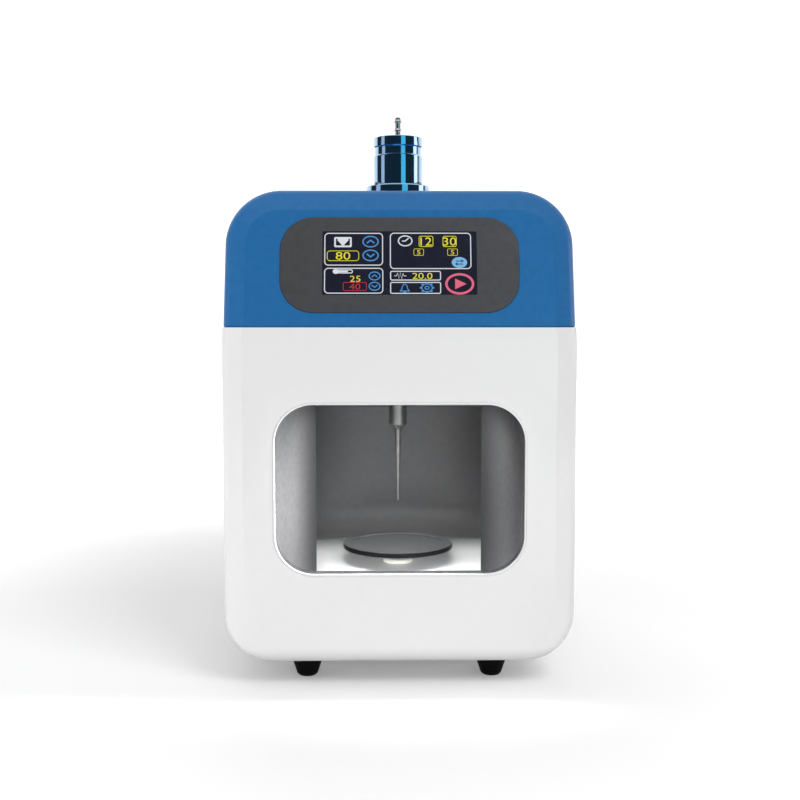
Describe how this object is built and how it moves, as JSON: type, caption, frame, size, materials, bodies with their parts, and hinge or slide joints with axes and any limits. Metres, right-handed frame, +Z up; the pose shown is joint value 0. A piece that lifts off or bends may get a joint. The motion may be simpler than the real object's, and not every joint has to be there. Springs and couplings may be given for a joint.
{
  "type": "probe sonicator",
  "caption": "Bench ultrasonic cell disruptor: rounded housing with a tilted display head, an open sample chamber with a lifting stage, and a transducer with a hanging probe.",
  "frame": {"origin": "on the table under the middle of the instrument's box", "axes": "+Z up, the window and display face -Y, +X to the viewer's right"},
  "size_m": [0.221, 0.261, 0.3703],
  "materials": {
    "white_shell": "glossy white moulded shell",
    "blue_shell": "satin blue moulded cover",
    "trim_gloss": "glossy white trim",
    "bezel_grey": "dark grey satin bezel",
    "screen": "dark display glass",
    "circuit_board": "green circuit board",
    "screw_steel": "zinc plated screws",
    "sheet_steel": "bare sheet steel",
    "foot_rubber": "black rubber",
    "floor_white": "glossy white enamel",
    "liner_dark": "dark grey satin paint",
    "cheek_satin": "grey satin paint with a fine grain",
    "seal_rubber": "dark silicone",
    "stage_steel": "satin steel",
    "bush_polymer": "pale bearing polymer",
    "can_chrome": "blue tinted mirror chrome",
    "fitting_steel": "polished steel",
    "titanium": "turned titanium",
    "stack_metal": "machined metal",
    "piezo_ceramic": "piezo ceramic",
    "electrode_brass": "thin brass",
    "bolt_steel": "high strength bolt steel",
    "sink_aluminium": "extruded aluminium",
    "coil_wound": "wound cores in varnish",
    "capacitor_sleeve": "dark sleeves",
    "supply_case": "perforated metal case",
    "panel_white": "white powder coat",
    "black_plastic": "black moulded plastic",
    "guard_steel": "plated pressed steel"
  },
  "bodies": {
    "housing": {"body_shell": "white_shell", "head_cover": "blue_shell", "display_bezel": "bezel_grey", "touch_screen": "screen", "display_board": "circuit_board", "display_screws": "screw_steel", "window_trim": "trim_gloss", "base_plate": "sheet_steel", "foot_front_left": "foot_rubber", "foot_rear_left": "foot_rubber", "foot_front_right": "foot_rubber", "foot_rear_right": "foot_rubber", "foot_screws": "screw_steel", "chamber_floor": "floor_white", "chamber_hood": "liner_dark", "chamber_back": "liner_dark", "cheek_left": "cheek_satin", "cheek_right": "cheek_satin", "horn_seal": "seal_rubber", "stage_bush": "bush_polymer", "transducer_can": "can_chrome", "transducer_collar": "can_chrome", "collar_screws": "screw_steel", "transducer_bridge": "sheet_steel", "air_fitting": "fitting_steel", "front_mass": "stack_metal", "piezo_rings": "piezo_ceramic", "electrodes": "electrode_brass", "back_mass": "stack_metal", "stack_bolt": "bolt_steel", "horn_stud": "bolt_steel", "horn": "titanium", "probe_tip": "titanium", "chassis_plate": "sheet_steel", "generator_board": "circuit_board", "standoffs": "sheet_steel", "heat_sink": "sink_aluminium", "transformer": "coil_wound", "matching_coil": "coil_wound", "capacitors": "capacitor_sleeve", "power_supply": "supply_case", "rear_panel": "panel_white", "rear_screws": "screw_steel", "fan_frame": "black_plastic", "fan_guard": "guard_steel", "fan_screws": "screw_steel", "power_inlet": "black_plastic", "rocker_frame": "black_plastic", "sensor_socket": "guard_steel"},
    "stage": {"stage_disc": "stage_steel", "stage_rim": "seal_rubber", "stage_post": "stage_steel", "post_clip": "screw_steel"},
    "rotor": {"fan_rotor": "black_plastic"},
    "rocker": {"power_rocker": "black_plastic"},
    "drawer": {"fuse_drawer": "black_plastic"}
  },
  "joints": [
    {"name": "stage_lift", "type": "slide", "parent": "housing", "child": "stage", "axis": [0, 0, 1], "range_m": [0, 0.025]},
    {"name": "fan_spin", "type": "hinge", "parent": "housing", "child": "rotor", "pos_m": [-0.038, 0.115, 0.15], "axis": [0, 1, 0], "continuous": true},
    {"name": "rocker_tip", "type": "hinge", "parent": "housing", "child": "rocker", "pos_m": [0.045, 0.126, 0.103], "axis": [1, 0, 0], "range_deg": [-16, 0]},
    {"name": "drawer_pull", "type": "slide", "parent": "housing", "child": "drawer", "axis": [0, 1, 0], "range_m": [0, 0.016]}
  ]
}
